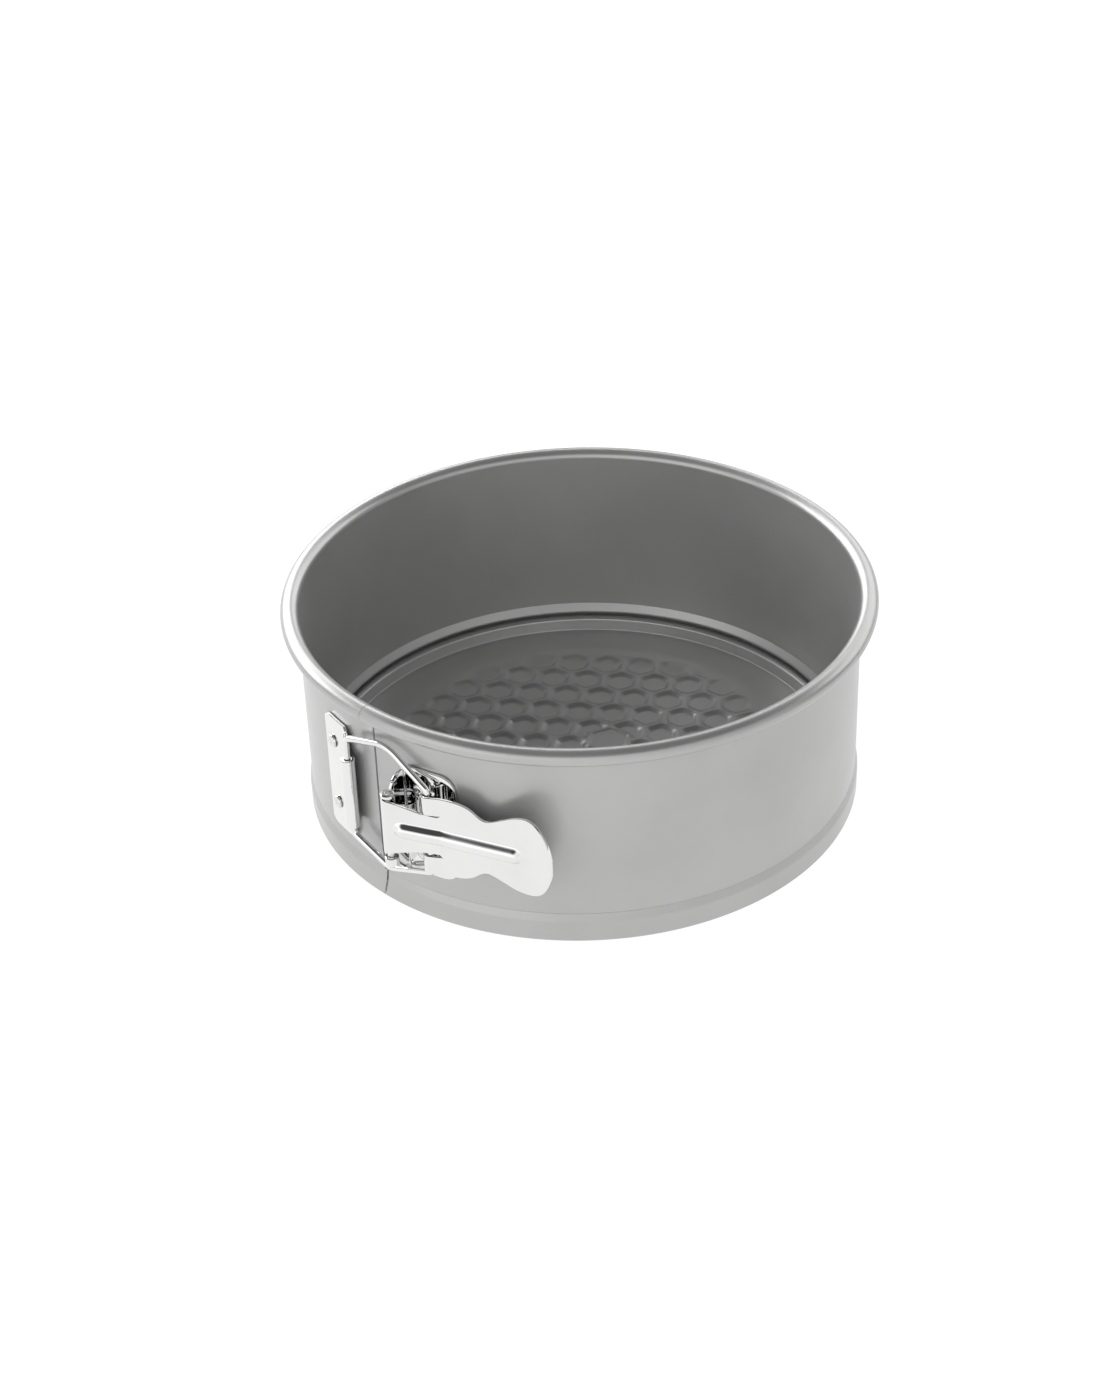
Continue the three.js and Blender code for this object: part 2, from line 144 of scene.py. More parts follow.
def filleted(corners, steps=8):
    """An open line through (x, y, radius) corners, each rounded by an arc of its radius."""
    points = [Vector(corners[0][:2])]
    for before, here, after in zip(corners, corners[1:], corners[2:]):
        corner, radius = Vector(here[:2]), here[2]
        arriving = (corner - Vector(before[:2])).normalized()
        leaving = (Vector(after[:2]) - corner).normalized()
        turn = arriving.angle_signed(leaving)
        side = Vector((arriving.y, -arriving.x)) * (1 if turn > 0 else -1)
        start = corner - arriving * radius * math.tan(abs(turn) / 2)
        centre = start + side * radius
        for i in range(steps + 1):
            spin = Matrix.Rotation(-turn * i / steps, 2)
            points.append(centre + spin @ (start - centre))
    points.append(Vector(corners[-1][:2]))
    return points


def normals_of(points):
    """Unit normals of an open line, on its left side."""
    normals = []
    for i in range(len(points)):
        along = points[min(i + 1, len(points) - 1)] - points[max(i - 1, 0)]
        along.normalize()
        normals.append(Vector((-along.y, along.x)))
    return normals


def sheet_section(left_line, right_line, thickness):
    """The closed outline of a folded sheet with round ends: points and outward normals. Its
    left face follows one middle line and its right face another, which share their ends."""
    half = thickness / 2
    left, right = normals_of(left_line), normals_of(right_line)
    points = [p + n * half for p, n in zip(left_line, left)]
    normals = list(left)

    def round_end(end, normal):
        for i in range(1, 4):
            turned = Matrix.Rotation(-math.pi * i / 4, 2) @ normal
            points.append(end + turned * half)
            normals.append(turned)

    round_end(left_line[-1], left[-1])
    points += [p - n * half for p, n in zip(reversed(right_line), reversed(right))]
    normals += [-n for n in reversed(right)]
    round_end(left_line[0], -left[0])
    return points, normals


def bent_path(start, facing, moves, run_step=0.5 * MM, turn_step=9):
    """The middle line of a bent strip in plan: ("run", length) or ("bend", radius, turn), with
    a turn in degrees that is positive to the left."""
    points = [start.copy()]
    for move in moves:
        origin = points[-1]
        if move[0] == "run":
            steps = max(1, math.ceil(move[1] / run_step))
            points += [origin + heading(facing) * move[1] * i / steps for i in range(1, steps + 1)]
            continue
        _, radius, turn = move
        side = 90 if turn > 0 else -90
        centre = origin + heading(facing + side) * radius
        steps = max(2, math.ceil(abs(turn) / turn_step))
        for i in range(1, steps + 1):
            points.append(centre + heading(facing + turn * i / steps - side) * radius)
        facing += turn
    return points


# ---------------------------------------------------------------- meshes

def place(name, mesh, material, body, replaced=()):
    """A finished mesh about the pan's axis becomes a piece that rides on a body, if given."""
    mesh.transform(Matrix.Translation((AXIS.x, AXIS.y, 0)))
    mesh.materials.clear()
    mesh.materials.append(material)
    piece = bpy.data.objects.new(name, mesh)
    bpy.context.scene.collection.objects.link(piece)
    if replaced:
        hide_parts(*replaced)
    if body:
        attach(piece, body)
    return piece


def mesh_from(name, points, faces, sharp=40):
    mesh = bpy.data.meshes.new(name)
    mesh.from_pydata([tuple(p) for p in points], [], faces)
    mesh.validate()
    work = bmesh.new()
    work.from_mesh(mesh)
    bmesh.ops.remove_doubles(work, verts=work.verts, dist=0.001 * MM)
    bmesh.ops.recalc_face_normals(work, faces=work.faces)
    work.to_mesh(mesh)
    work.free()
    mesh.shade_smooth()
    mesh.set_sharp_from_angle(angle=math.radians(sharp))
    return mesh


def grid_faces(rows, columns, first=0, closed=False):
    """Quads over a grid of points stored row by row."""
    faces = []
    for i in range(rows - 1):
        for j in range(columns if closed else columns - 1):
            k = (j + 1) % columns
            faces.append((first + i * columns + j, first + i * columns + k,
                          first + (i + 1) * columns + k, first + (i + 1) * columns + j))
    return faces


def lathed(profile, steps, shape=None):
    """A profile of (radius, height) points turned round Z, open at the axis. shape(x, y, z) may
    move a point."""
    points = []
    for radius, height in profile:
        for j in range(steps):
            angle = 2 * math.pi * j / steps
            point = (radius * math.cos(angle), radius * math.sin(angle), height)
            points.append(shape(*point) if shape else point)
    return points, grid_faces(len(profile), steps, closed=True)


def closed_lathe(profile, steps, shape=None):
    """A turned solid whose profile starts and ends near the axis, with both ends closed."""
    points, faces = lathed(profile, steps, shape)
    faces.append(tuple(range(steps)))
    last = (len(profile) - 1) * steps
    faces.append(tuple(range(last + steps - 1, last - 1, -1)))
    return points, faces


def thickened(name, grids, thickness, bevel=0.16 * MM, sharp=38):
    """A plate of even thickness from grids of its middle surface, each a list of rows of
    points, with its edges rounded."""
    points = []
    faces = []
    for rows in grids:
        faces += grid_faces(len(rows), len(rows[0]), first=len(points))
        for row in rows:
            points += row
    middle = mesh_from(name + "_middle", points, faces)
    work = bpy.data.objects.new(name + "_work", middle)
    bpy.context.scene.collection.objects.link(work)
    solidify = work.modifiers.new("plate", "SOLIDIFY")
    solidify.thickness = thickness
    solidify.offset = 0
    solidify.use_even_offset = True
    rounding = work.modifiers.new("edges", "BEVEL")
    rounding.width = bevel
    rounding.segments = 2
    rounding.limit_method = "ANGLE"
    rounding.angle_limit = math.radians(55)
    shaped = work.evaluated_get(bpy.context.evaluated_depsgraph_get())
    mesh = bpy.data.meshes.new_from_object(shaped)
    bpy.data.objects.remove(work)
    mesh.name = name
    mesh.shade_smooth()
    mesh.set_sharp_from_angle(angle=math.radians(sharp))
    return mesh


# ---------------------------------------------------------------- materials

def new_material(name, colour, roughness, metallic=1.0):
    material = bpy.data.materials.new(name)
    material.use_nodes = True
    shader = material.node_tree.nodes["Principled BSDF"]
    shader.inputs["Base Color"].default_value = (*colour, 1)
    shader.inputs["Roughness"].default_value = roughness
    shader.inputs["Metallic"].default_value = metallic
    return material, shader


def noise(tree, scale, detail=3, stretch=(1, 1, 1)):
    """Noise over the piece's own coordinates. Returns its factor output."""
    coordinates = tree.nodes.new("ShaderNodeTexCoord")
    mapping = tree.nodes.new("ShaderNodeMapping")
    mapping.inputs["Scale"].default_value = stretch
    texture = tree.nodes.new("ShaderNodeTexNoise")
    texture.inputs["Scale"].default_value = scale
    texture.inputs["Detail"].default_value = detail
    tree.links.new(coordinates.outputs["Object"], mapping.inputs["Vector"])
    tree.links.new(mapping.outputs["Vector"], texture.inputs["Vector"])
    return texture.outputs["Fac"]


NOISE_START = 0.1
NOISE_END = 0.9


def ranged(tree, factor, low, high, start=NOISE_START, end=NOISE_END):
    """A factor that runs from start to end, spread between two values."""
    spread = tree.nodes.new("ShaderNodeMapRange")
    spread.inputs["From Min"].default_value = start
    spread.inputs["From Max"].default_value = end
    spread.inputs["To Min"].default_value = low
    spread.inputs["To Max"].default_value = high
    tree.links.new(factor, spread.inputs["Value"])
    return spread.outputs["Result"]


def tinted(tree, factor, dark, light):
    """A factor turned into a colour between two greys."""
    ramp = tree.nodes.new("ShaderNodeValToRGB")
    ramp.color_ramp.elements[0].position = NOISE_START
    ramp.color_ramp.elements[0].color = (*dark, 1)
    ramp.color_ramp.elements[1].position = NOISE_END
    ramp.color_ramp.elements[1].color = (*light, 1)
    tree.links.new(factor, ramp.inputs["Fac"])
    return ramp.outputs["Color"]


def bumped(tree, shader, layers):
    """Bumps shader's normal by (height output, depth in metres, strength) layers in turn."""
    normal = None
    for height, depth, strength in layers:
        bump = tree.nodes.new("ShaderNodeBump")
        bump.inputs["Distance"].default_value = depth
        bump.inputs["Strength"].default_value = strength
        tree.links.new(height, bump.inputs["Height"])
        if normal:
            tree.links.new(normal, bump.inputs["Normal"])
        normal = bump.outputs["Normal"]
    tree.links.new(normal, shader.inputs["Normal"])


def grey(value, warmth=0.0):
    return (value + warmth, value, value - warmth)


def coated_steel(name, tone, roughness):
    """Silver-grey non-stick coating with metal in it: satin, faintly clouded, finely grained."""
    material, shader = new_material(name, grey(tone), roughness, metallic=0.55)
    tree = material.node_tree
    cloud = noise(tree, 28, 4)
    grain = noise(tree, 900, 2)
    tint = tinted(tree, cloud, grey(tone * 0.9, 0.003), grey(tone * 1.1, 0.002))
    sheen = ranged(tree, noise(tree, 60, 3), roughness - 0.03, roughness + 0.05)
    waves = noise(tree, 45, 2)
    tree.links.new(tint, shader.inputs["Base Color"])
    tree.links.new(sheen, shader.inputs["Roughness"])
    bumped(tree, shader, [(waves, 0.4 * MM, 0.03), (grain, 0.01 * MM, 0.04)])
    return material


def chrome_plate():
    """Bright chrome on stamped steel: mirror-like, with slight waves and hazy patches."""
    material, shader = new_material("bright_chrome", grey(0.8), 0.05)
    tree = material.node_tree
    haze = ranged(tree, noise(tree, 220, 4), 0.015, 0.08)
    tint = tinted(tree, noise(tree, 90, 3), grey(0.76, 0.004), grey(0.82, 0.002))
    waves = noise(tree, 130, 2)
    grain = noise(tree, 1500, 2)
    tree.links.new(haze, shader.inputs["Roughness"])
    tree.links.new(tint, shader.inputs["Base Color"])
    bumped(tree, shader, [(waves, 0.2 * MM, 0.10), (grain, 0.01 * MM, 0.2)])
    return material


def polished_steel():
    """Bare steel of the rivets and the pin, with turning marks."""
    material, shader = new_material("polished_steel", grey(0.74), 0.2)
    tree = material.node_tree
    sheen = ranged(tree, noise(tree, 700, 3), 0.12, 0.34)
    tint = tinted(tree, noise(tree, 400, 3), grey(0.66, 0.004), grey(0.8, 0.002))
    marks = noise(tree, 900, 2, stretch=(1, 1, 4))
    tree.links.new(sheen, shader.inputs["Roughness"])
    tree.links.new(tint, shader.inputs["Base Color"])
    bumped(tree, shader, [(marks, 0.03 * MM, 0.3)])
    return material


def studio_floor():
    """A floor that shines white itself, so that shadows on it stay faint."""
    material, shader = new_material("studio_floor", grey(0.15), 0.9, metallic=0.0)
    tree = material.node_tree
    tint = tinted(tree, noise(tree, 3, 2), grey(0.14), grey(0.16))
    tree.links.new(tint, shader.inputs["Base Color"])
    shader.inputs["Emission Color"].default_value = (1, 1, 1, 1)
    shader.inputs["Emission Strength"].default_value = 0.92
    return material


BAND_COAT = coated_steel("band_coating", 0.45, 0.30)
BASE_COAT = coated_steel("base_coating", 0.50, 0.30)
CHROME = chrome_plate()
STEEL = polished_steel()


# ---------------------------------------------------------------- band

LEDGE_RADIUS = 86.2 * MM
LEDGE_HEIGHT = 5.75 * MM
HEM_FOLD = 0.75 * MM
NOSE_RADIUS = 87.3 * MM
CREASE_DEPTH = 0.45 * MM
CURL_HALF_HEIGHT = 2.35 * MM
CURL_SWEEP = 312
SPLIT_HALF = 0.38 * MM
SPLIT_CLOSING = 0.32 * MM
SPLIT_STEP = 1.6 * MM
BAND_STEP = 1.5
FRONT_END = 108


def band_section():
    """Outline of the band from the base's ledge, down round the hem, up the wall and round the
    rolled rim, as (radius, height) points with normals. Over the foot the sheet is folded into
    a nose inside, which leaves only a fine crease outside."""
    wall = WALL_RADIUS - SHEET / 2
    skirt = SKIRT_RADIUS - SHEET / 2
    hem = skirt - HEM_FOLD
    foot = [
        (LEDGE_RADIUS, LEDGE_HEIGHT, 0),
        (hem, LEDGE_HEIGHT, 0.9 * MM),
        (hem, SHEET / 2, HEM_FOLD / 2),
        (skirt, SHEET / 2, HEM_FOLD / 2),
    ]
    nose = [
        (skirt, 7.2 * MM, 0.8 * MM),
        (NOSE_RADIUS, 8 * MM, 0.55 * MM),
        (wall, 10.9 * MM, 0.8 * MM),
    ]
    crease = [
        (skirt, 7 * MM, 2 * MM),
        (wall - CREASE_DEPTH, 9.8 * MM, 0.2 * MM),
        (wall, 10.3 * MM, 0.4 * MM),
    ]
    half_width = (RIM_RADIUS - wall) / 2 - SHEET / 4
    centre = Vector((wall + half_width, HEIGHT - SHEET / 2 - CURL_HALF_HEIGHT))
    curl = []
    steps = 40
    for i in range(steps + 1):
        round_rim = heading(180 - CURL_SWEEP * i / steps)
        curl.append(centre + Vector((half_width * round_rim.x, CURL_HALF_HEIGHT * round_rim.y)))
    upper = [Vector((wall, 40 * MM)), Vector((wall, 62 * MM))] + curl
    lines = [filleted([*foot, *fold, (wall, 20 * MM, 0)]) + upper for fold in (nose, crease)]
    return sheet_section(*lines, SHEET)


def split_edge(side, height):
    """Azimuth of a band's end at the split. The gap closes up under the roll of the rim, and
    the join steps aside over the shoulder at the foot."""
    closing = smoothstep(height, HEIGHT - 6.4 * MM, HEIGHT - 5 * MM)
    half_gap = SPLIT_HALF - SPLIT_CLOSING * closing
    above_foot = smoothstep(height, 1 * MM, 6.5 * MM)
    below_wall = 1 - smoothstep(height, 8 * MM, 12 * MM)
    return math.degrees((side * half_gap + SPLIT_STEP * above_foot * below_wall) / WALL_RADIUS)


def band_piece(name, start, end):
    """A length of the band between two azimuths, closed at both ends. An azimuth of 0 means
    the split."""
    section, across = band_section()
    count = len(section)
    side = 1 if end > 0 else -1
    steps = round(abs(end - start) / BAND_STEP)
    points = []
    normals = []
    for i in range(steps + 1):
        for point, normal in zip(section, across):
            first = split_edge(side, point.y) if start == 0 else start
            azimuth = first + (end - first) * i / steps
            out = at_azimuth(azimuth, 1)
            points.append((*(out * point.x), point.y))
            normals.append(Vector((*(out * normal.x), normal.y)))
    faces = grid_faces(steps + 1, count, closed=True)
    if side < 0:
        faces = [face[::-1] for face in faces]
    side_count = len(faces)
    caps = tessellate_polygon([[Vector((*p, 0)) for p in section]])
    last = steps * count
    for a, b, c in caps:
        faces.append((a, b, c))
        faces.append((last + a, last + b, last + c))
    mesh = bpy.data.meshes.new(name)
    mesh.from_pydata(points, [], faces)
    work = bmesh.new()
    work.from_mesh(mesh)
    bmesh.ops.recalc_face_normals(work, faces=work.faces)
    work.to_mesh(mesh)
    work.free()
    mesh.shade_smooth()
    loop_normals = [None] * len(mesh.loops)
    for polygon in mesh.polygons:
        for loop in polygon.loop_indices:
            vertex = mesh.loops[loop].vertex_index
            loop_normals[loop] = normals[vertex] if polygon.index < side_count else polygon.normal
    mesh.normals_split_custom_set(loop_normals)
    piece = place(name, mesh, BAND_COAT, None)
    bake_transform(piece)
    return piece


def build_band():
    """Four lengths of spring steel in place of the CAD's stiff segments. They meet in the
    middle of the segments."""
    for side, word in ((1, "right"), (-1, "left")):
        middle = side * FRONT_END
        front = band_piece(f"band_front_{word}_sheet", 0, middle)
        rear = band_piece(f"band_rear_{word}_sheet", middle, side * 180)
        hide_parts(f"band_front_{word}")
        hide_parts(f"band_rear_{word}", "band_back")


# ---------------------------------------------------------------- base plate

CELL_PITCH = 11.81 * MM
CELL_HEADING = 35.5
CELL_DEPTH = 0.85 * MM
CELL_SLOPE = 2.1 * MM
CELL_REACH = 71 * MM
MARK_CENTRE = Vector((-3.1 * MM, 15.5 * MM))
MARK_INRADIUS = 7 * MM
MARK_OUTLINE = 0.3 * MM
DISH_RISE = 0.35 * MM
RING_STEP = 0.42 * MM
RING_SPACING = 0.62 * MM


def hexagon_distance(offset):
    """How far a point is from a cell's middle, measured square to the cell's nearest side."""
    return max(abs(offset.dot(heading(CELL_HEADING + turn))) for turn in (0, 60, 120))


def nearest_cell(point):
    """Offset of a point from the middle of the honeycomb cell it is in."""
    first, second = heading(CELL_HEADING) * CELL_PITCH, heading(CELL_HEADING + 60) * CELL_PITCH
    across = first.x * second.y - first.y * second.x
    a = (point.x * second.y - point.y * second.x) / across
    b = (first.x * point.y - first.y * point.x) / across
    candidates = []
    for i in (math.floor(a), math.floor(a) + 1):
        for j in (math.floor(b), math.floor(b) + 1):
            candidates.append(point - first * i - second * j)
    return min(candidates, key=lambda offset: offset.length)


def cell_relief(point):
    """Depth of the honeycomb's dimples below the rounded ridges between them."""
    offset = nearest_cell(point)
    flat = hexagon_distance(offset) / (CELL_PITCH / 2)
    round_off = offset.length / (CELL_PITCH / 2 * 1.08)
    inward = (1 - (flat ** 8 + round_off ** 8) ** (1 / 8)) * CELL_PITCH / 2
    return -CELL_DEPTH * smoothstep(inward, -0.2 * MM, CELL_SLOPE)


def floor_relief(x, y):
    """Height of the base's embossing at a point of the floor."""
    point = Vector((x, y))
    fade = 1 - smoothstep(point.length, CELL_REACH - 9 * MM, CELL_REACH)
    mark = hexagon_distance(point - MARK_CENTRE)
    outside_mark = smoothstep(mark, MARK_INRADIUS - 0.2 * MM, MARK_INRADIUS + 1.4 * MM)
    off_outline = smoothstep(abs(mark - MARK_INRADIUS + 0.6 * MM), 0.1 * MM, 0.6 * MM)
    off_dish = smoothstep(point.length, CELL_REACH - 1 * MM, CELL_REACH + 7 * MM)
    relief = cell_relief(point) if fade > 0 and outside_mark > 0 else 0
    raised = DISH_RISE * (1 - off_dish)
    return raised + relief * fade * outside_mark + MARK_OUTLINE * (1 - off_outline)


def build_base():
    """A pressed sheet: a flat flange, a step down and a floor with a honeycomb pressed in."""
    floor = FLOOR_TOP - SHEET / 2
    flange = FLANGE_TOP - SHEET / 2
    step_inner = BASE_RADIUS - 2.6 * MM
    rim = filleted([
        (80 * MM, floor, 0),
        (step_inner, floor, 0.8 * MM),
        (step_inner + 0.5 * MM, flange, 0.7 * MM),
        (BASE_RADIUS - SHEET / 2, flange, 0),
    ], steps=6)
    inner_rings = [i * RING_STEP for i in range(1, int(rim[0].x / RING_STEP))]
    middle = [Vector((radius, floor)) for radius in inner_rings] + rim
    across = normals_of(middle)
    edge = middle[-1]
    outline = [p + n * SHEET / 2 for p, n in zip(middle, across)]
    outline += [edge + heading(angle) * SHEET / 2 for angle in (60, 30, 0, -30, -60)]
    outline += [p - n * SHEET / 2 for p, n in zip(reversed(middle), reversed(across))]
    points = []
    faces = []
    rings = []
    for point in outline:
        count = 90
        while count * RING_SPACING < 2 * math.pi * min(point.x, rim[0].x):
            count *= 2
        rings.append((len(points), count))
        for j in range(count):
            angle = 2 * math.pi * j / count
            x, y = point.x * math.cos(angle), point.x * math.sin(angle)
            lift = floor_relief(x, y) if point.x < rim[0].x else 0
            points.append((x, y, point.y + lift))
    for (first, count), (second, next_count) in zip(rings, rings[1:]):
        faces += ring_faces(first, count, second, next_count)
    for first, count in (rings[0], rings[-1]):
        faces.append(tuple(range(first, first + count)))
    mesh = mesh_from("base_plate_pressed", points, faces, sharp=60)
    place("base_plate_pressed", mesh, BASE_COAT, "base", ["base_plate"])


def ring_faces(first, count, second, next_count):
    """Faces between two rings of points, where one may have twice as many points."""
    faces = []
    if count == next_count:
        for j in range(count):
            k = (j + 1) % count
            faces.append((first + j, first + k, second + k, second + j))
        return faces
    if count > next_count:
        first, count, second, next_count = second, next_count, first, count
    for j in range(count):
        k = (j + 1) % count
        a, b, c = 2 * j, 2 * j + 1, (2 * j + 2) % next_count
        faces.append((first + j, second + b, second + a))
        faces.append((first + j, first + k, second + b))
        faces.append((first + k, second + c, second + b))
    return faces


# ---------------------------------------------------------------- latch: lever

LINK_HEADING = math.degrees(math.atan2(*reversed(KNUCKLE - FULCRUM)))
BODY_HEADING = 20.5
TAB_HEADING = 2
CURL_TURN = 290
TONGUE_LENGTH = 16.5 * MM
BODY_LENGTH = 28.8 * MM
TAB_LENGTH = 8.7 * MM
BARREL_HALF = 9.9 * MM
KNUCKLE_INNER = 7.7 * MM
KNUCKLE_OUTER = 13.9 * MM
SLOT_END = KNUCKLE.x + 4.4 * MM
TAB_CENTRE = 54 * MM
TAB_REACH = 9.9 * MM
TAB_HALF = 13.7 * MM
RIB_START = 16.4 * MM
RIB_END = 52.2 * MM
RIB_HEIGHT = 1.9 * MM
TONGUE_SHIFT = 1.8 * MM
CORE_SHARE = 0.56


def curled(axis, moves):
    """A strip's middle line, curled round an axis on the link line and leaving along it."""
    facing = LINK_HEADING - CURL_TURN
    start = axis + heading(facing - 90) * CURL
    return bent_path(start, facing, [("bend", CURL, CURL_TURN), *moves])


def lever_path():
    first = BODY_HEADING - LINK_HEADING
    second = TAB_HEADING - BODY_HEADING
    first_reach = 6 * MM * math.tan(math.radians(abs(first)) / 2)
    second_reach = 14 * MM * math.tan(math.radians(abs(second)) / 2)
    return curled(FULCRUM, [
        ("run", TONGUE_LENGTH - first_reach),
        ("bend", 6 * MM, first),
        ("run", BODY_LENGTH - first_reach - second_reach),
        ("bend", 14 * MM, second),
        ("run", TAB_LENGTH - second_reach - 0.1 * MM),
    ])


def lever_half(x):
    """Half the height of the lever's outline, beyond its shoulders."""
    if x > TAB_CENTRE:
        return TAB_HALF * math.sqrt(max(0, 1 - ((x - TAB_CENTRE) / TAB_REACH) ** 2))
    waist = [(23, 13.9), (28, 13.85), (33.7, 13.6), (37.2, 12.4), (40.3, 10), (42.5, 9.5),
             (46.8, 11.3), (50.5, 13), (54, 13.7), (57, 13.7)]
    return smooth_table(x, [(at * MM, half * MM) for at, half in waist])


def tongue_half(x):
    """Half the height of the tongue between the barrel and the slots beside it."""
    inner = KNUCKLE_INNER - 0.9 * MM
    tongue = [(FULCRUM.x - 0.4 * MM, BARREL_HALF), (KNUCKLE.x - 1 * MM, inner + 0.3 * MM),
              (SLOT_END - 0.6 * MM, inner), (SLOT_END, KNUCKLE_INNER)]
    return lerp_table(x, tongue)


def tongue_shift(x):
    """The stamping is a little lopsided: its tongue sits high at the barrel."""
    return TONGUE_SHIFT * (1 - smoothstep(x, FULCRUM.x, SLOT_END + 4 * MM))


def rib_lift(x, height):
    """How far the stiffening rib stands out of the lever's face. It rises with the tongue."""
    middle = 2.4 * MM * (1 - smoothstep(x, RIB_START - 6 * MM, SLOT_END + 4 * MM)) - 0.4 * MM
    beyond = max(RIB_START + 2 * MM - x, x - RIB_END + 2 * MM, 0)
    away = math.hypot(beyond, height - middle)
    slope = min(max((away - 0.8 * MM) / (2 * MM), 0), 1)
    return RIB_HEIGHT * (1 - (0.55 * slope + 0.45 * slope * slope * (3 - 2 * slope)))


def strip_grid(path, low, high, rows, lift=None):
    """Rows of points on a bent strip: column i runs from low(x) to high(x), the heights above
    the latch's middle. lift(x, height) raises a point off the strip's right side."""
    across = normals_of(path)
    grid = []
    for j in range(rows + 1):
        row = []
        for point, normal in zip(path, across):
            height = low(point.x) + (high(point.x) - low(point.x)) * j / rows
            rise = lift(point.x, height) if lift else 0
            raised = point - normal * rise
            row.append((raised.x, raised.y, LATCH_Z + height))
        grid.append(row)
    return grid


def build_lever():
    """One stamping: a tongue curled round the hinge pin, shoulders curled round the bail's
    ends, a stiffening rib, a waist and a thumb tab that stands off the wall."""
    path = lever_path()
    split = next(i for i, p in enumerate(path) if p.x >= SLOT_END)
    curl_end = KNUCKLE.x + math.sin(math.radians(LINK_HEADING)) * CURL
    shoulder_from = next(i for i, p in enumerate(path) if p.x > curl_end)

    def core(x):
        return min(KNUCKLE_INNER, CORE_SHARE * lever_half(x))

    grids = [
        strip_grid(path[:split], lambda x: tongue_shift(x) - tongue_half(x),
                   lambda x: tongue_shift(x) + tongue_half(x), 60, rib_lift),
        strip_grid(path[split:], lambda x: -core(x), core, 60, rib_lift),
    ]
    seam = [[row[-1] for row in grids[0]], [row[0] for row in grids[1]]]
    grids.append([list(pair) for pair in zip(*seam)])
    shoulder = curled(KNUCKLE, [])[:-1] + path[shoulder_from:]
    for side in (-1, 1):
        grid = strip_grid(shoulder, lambda x: KNUCKLE_INNER if x < SLOT_END else core(x),
                          lever_half, 9)
        grids.append([[(x, y, LATCH_Z + side * (z - LATCH_Z)) for x, y, z in row] for row in grid])
    mesh = thickened("lever_stamping", grids, PLATE)
    place("lever_stamping", mesh, CHROME, "lever", ["lever"])


# ---------------------------------------------------------------- latch: wire, pin and rivets

HOOK_AXIS = Vector((bail_low.x + WIRE, -93 * MM))
LEG_BOTTOM = LATCH_Z - 15.2 * MM
LEG_TOP = LATCH_Z + 20.2 * MM
FLARE_LOW = Vector((5.6 * MM, -92.2 * MM))
FLARE_HIGH = Vector((7.4 * MM, -91.8 * MM))
PEEN_DEPTH = 0.28 * MM


def tube(name, corners, radius, around=24):
    """A bent wire through (x, y, z, bend radius) corners, with its cut ends slightly rounded."""
    line = [Vector(corners[0][:3])]
    for before, here, after in zip(corners, corners[1:], corners[2:]):
        corner, bend = Vector(here[:3]), here[3]
        arriving = (corner - Vector(before[:3])).normalized()
        leaving = (Vector(after[:3]) - corner).normalized()
        turn = arriving.angle(leaving)
        reach = bend * math.tan(turn / 2)
        inward = (leaving - arriving).normalized()
        centre = corner + inward * bend / math.cos(turn / 2)
        start = (corner - arriving * reach - centre).normalized()
        finish = (corner + leaving * reach - centre).normalized()
        steps = 12
        for i in range(steps + 1):
            line.append(centre + start.slerp(finish, i / steps) * bend)
    line.append(Vector(corners[-1][:3]))
    ends = [(line[0], line[0] - line[1]), (line[-1], line[-1] - line[-2])]
    (first, out_first), (last, out_last) = ends
    rounding = 0.3 * MM
    rings = [(first + out_first.normalized() * rounding, radius - rounding)]
    rings += [(point, radius) for point in line]
    rings += [(last + out_last.normalized() * rounding, radius - rounding)]
    points = []
    side = None
    for i, (point, size) in enumerate(rings):
        along = rings[min(i + 1, len(rings) - 1)][0] - rings[max(i - 1, 0)][0]
        along.normalize()
        if side is None:
            side = along.orthogonal()
        side = (side - along * side.dot(along)).normalized()
        up = along.cross(side)
        for j in range(around):
            angle = 2 * math.pi * j / around
            points.append(point + (side * math.cos(angle) + up * math.sin(angle)) * size)
    faces = grid_faces(len(rings), around, closed=True)
    faces.append(tuple(range(around)))
    faces.append(tuple(range((len(rings) - 1) * around, len(rings) * around)))
    return mesh_from(name, points, faces, sharp=50)


def build_bail():
    """The wire loop: an upright leg in the hook, two arms that flare and close in again, and
    ends turned towards each other inside the lever's knuckles."""
    end = KNUCKLE_INNER - 0.1 * MM
    elbow = KNUCKLE_OUTER + 1.2 * MM
    corners = [
        (KNUCKLE, LATCH_Z - end, 0),
        (KNUCKLE, LATCH_Z - elbow, 1.6 * MM),
        (FLARE_LOW, bail_low.z + WIRE, 5 * MM),
        (HOOK_AXIS, LEG_BOTTOM, 2.4 * MM),
        (HOOK_AXIS, LEG_TOP, 3 * MM),
        (FLARE_HIGH, bail_high.z - WIRE, 11 * MM),
        (KNUCKLE, LATCH_Z + elbow, 1.6 * MM),
        (KNUCKLE, LATCH_Z + end, 0),
    ]
    line = [(*plan, height, bend) for plan, height, bend in corners]
    mesh = tube("bail_wire_bent", line, WIRE)
    place("bail_wire_bent", mesh, CHROME, "bail", ["bail_wire"])


def peened(x, y, z):
    """Four small marks of the riveting tool round the middle of a head."""
    radius = math.hypot(x, y)
    lobes = math.cos(2 * math.atan2(y, x)) ** 6
    mark = (1 - smoothstep(radius, 0.5 * MM, 1.5 * MM)) * (0.35 + 0.65 * lobes)
    return (x, y, z - PEEN_DEPTH * mark if z > 1.3 * MM else z)


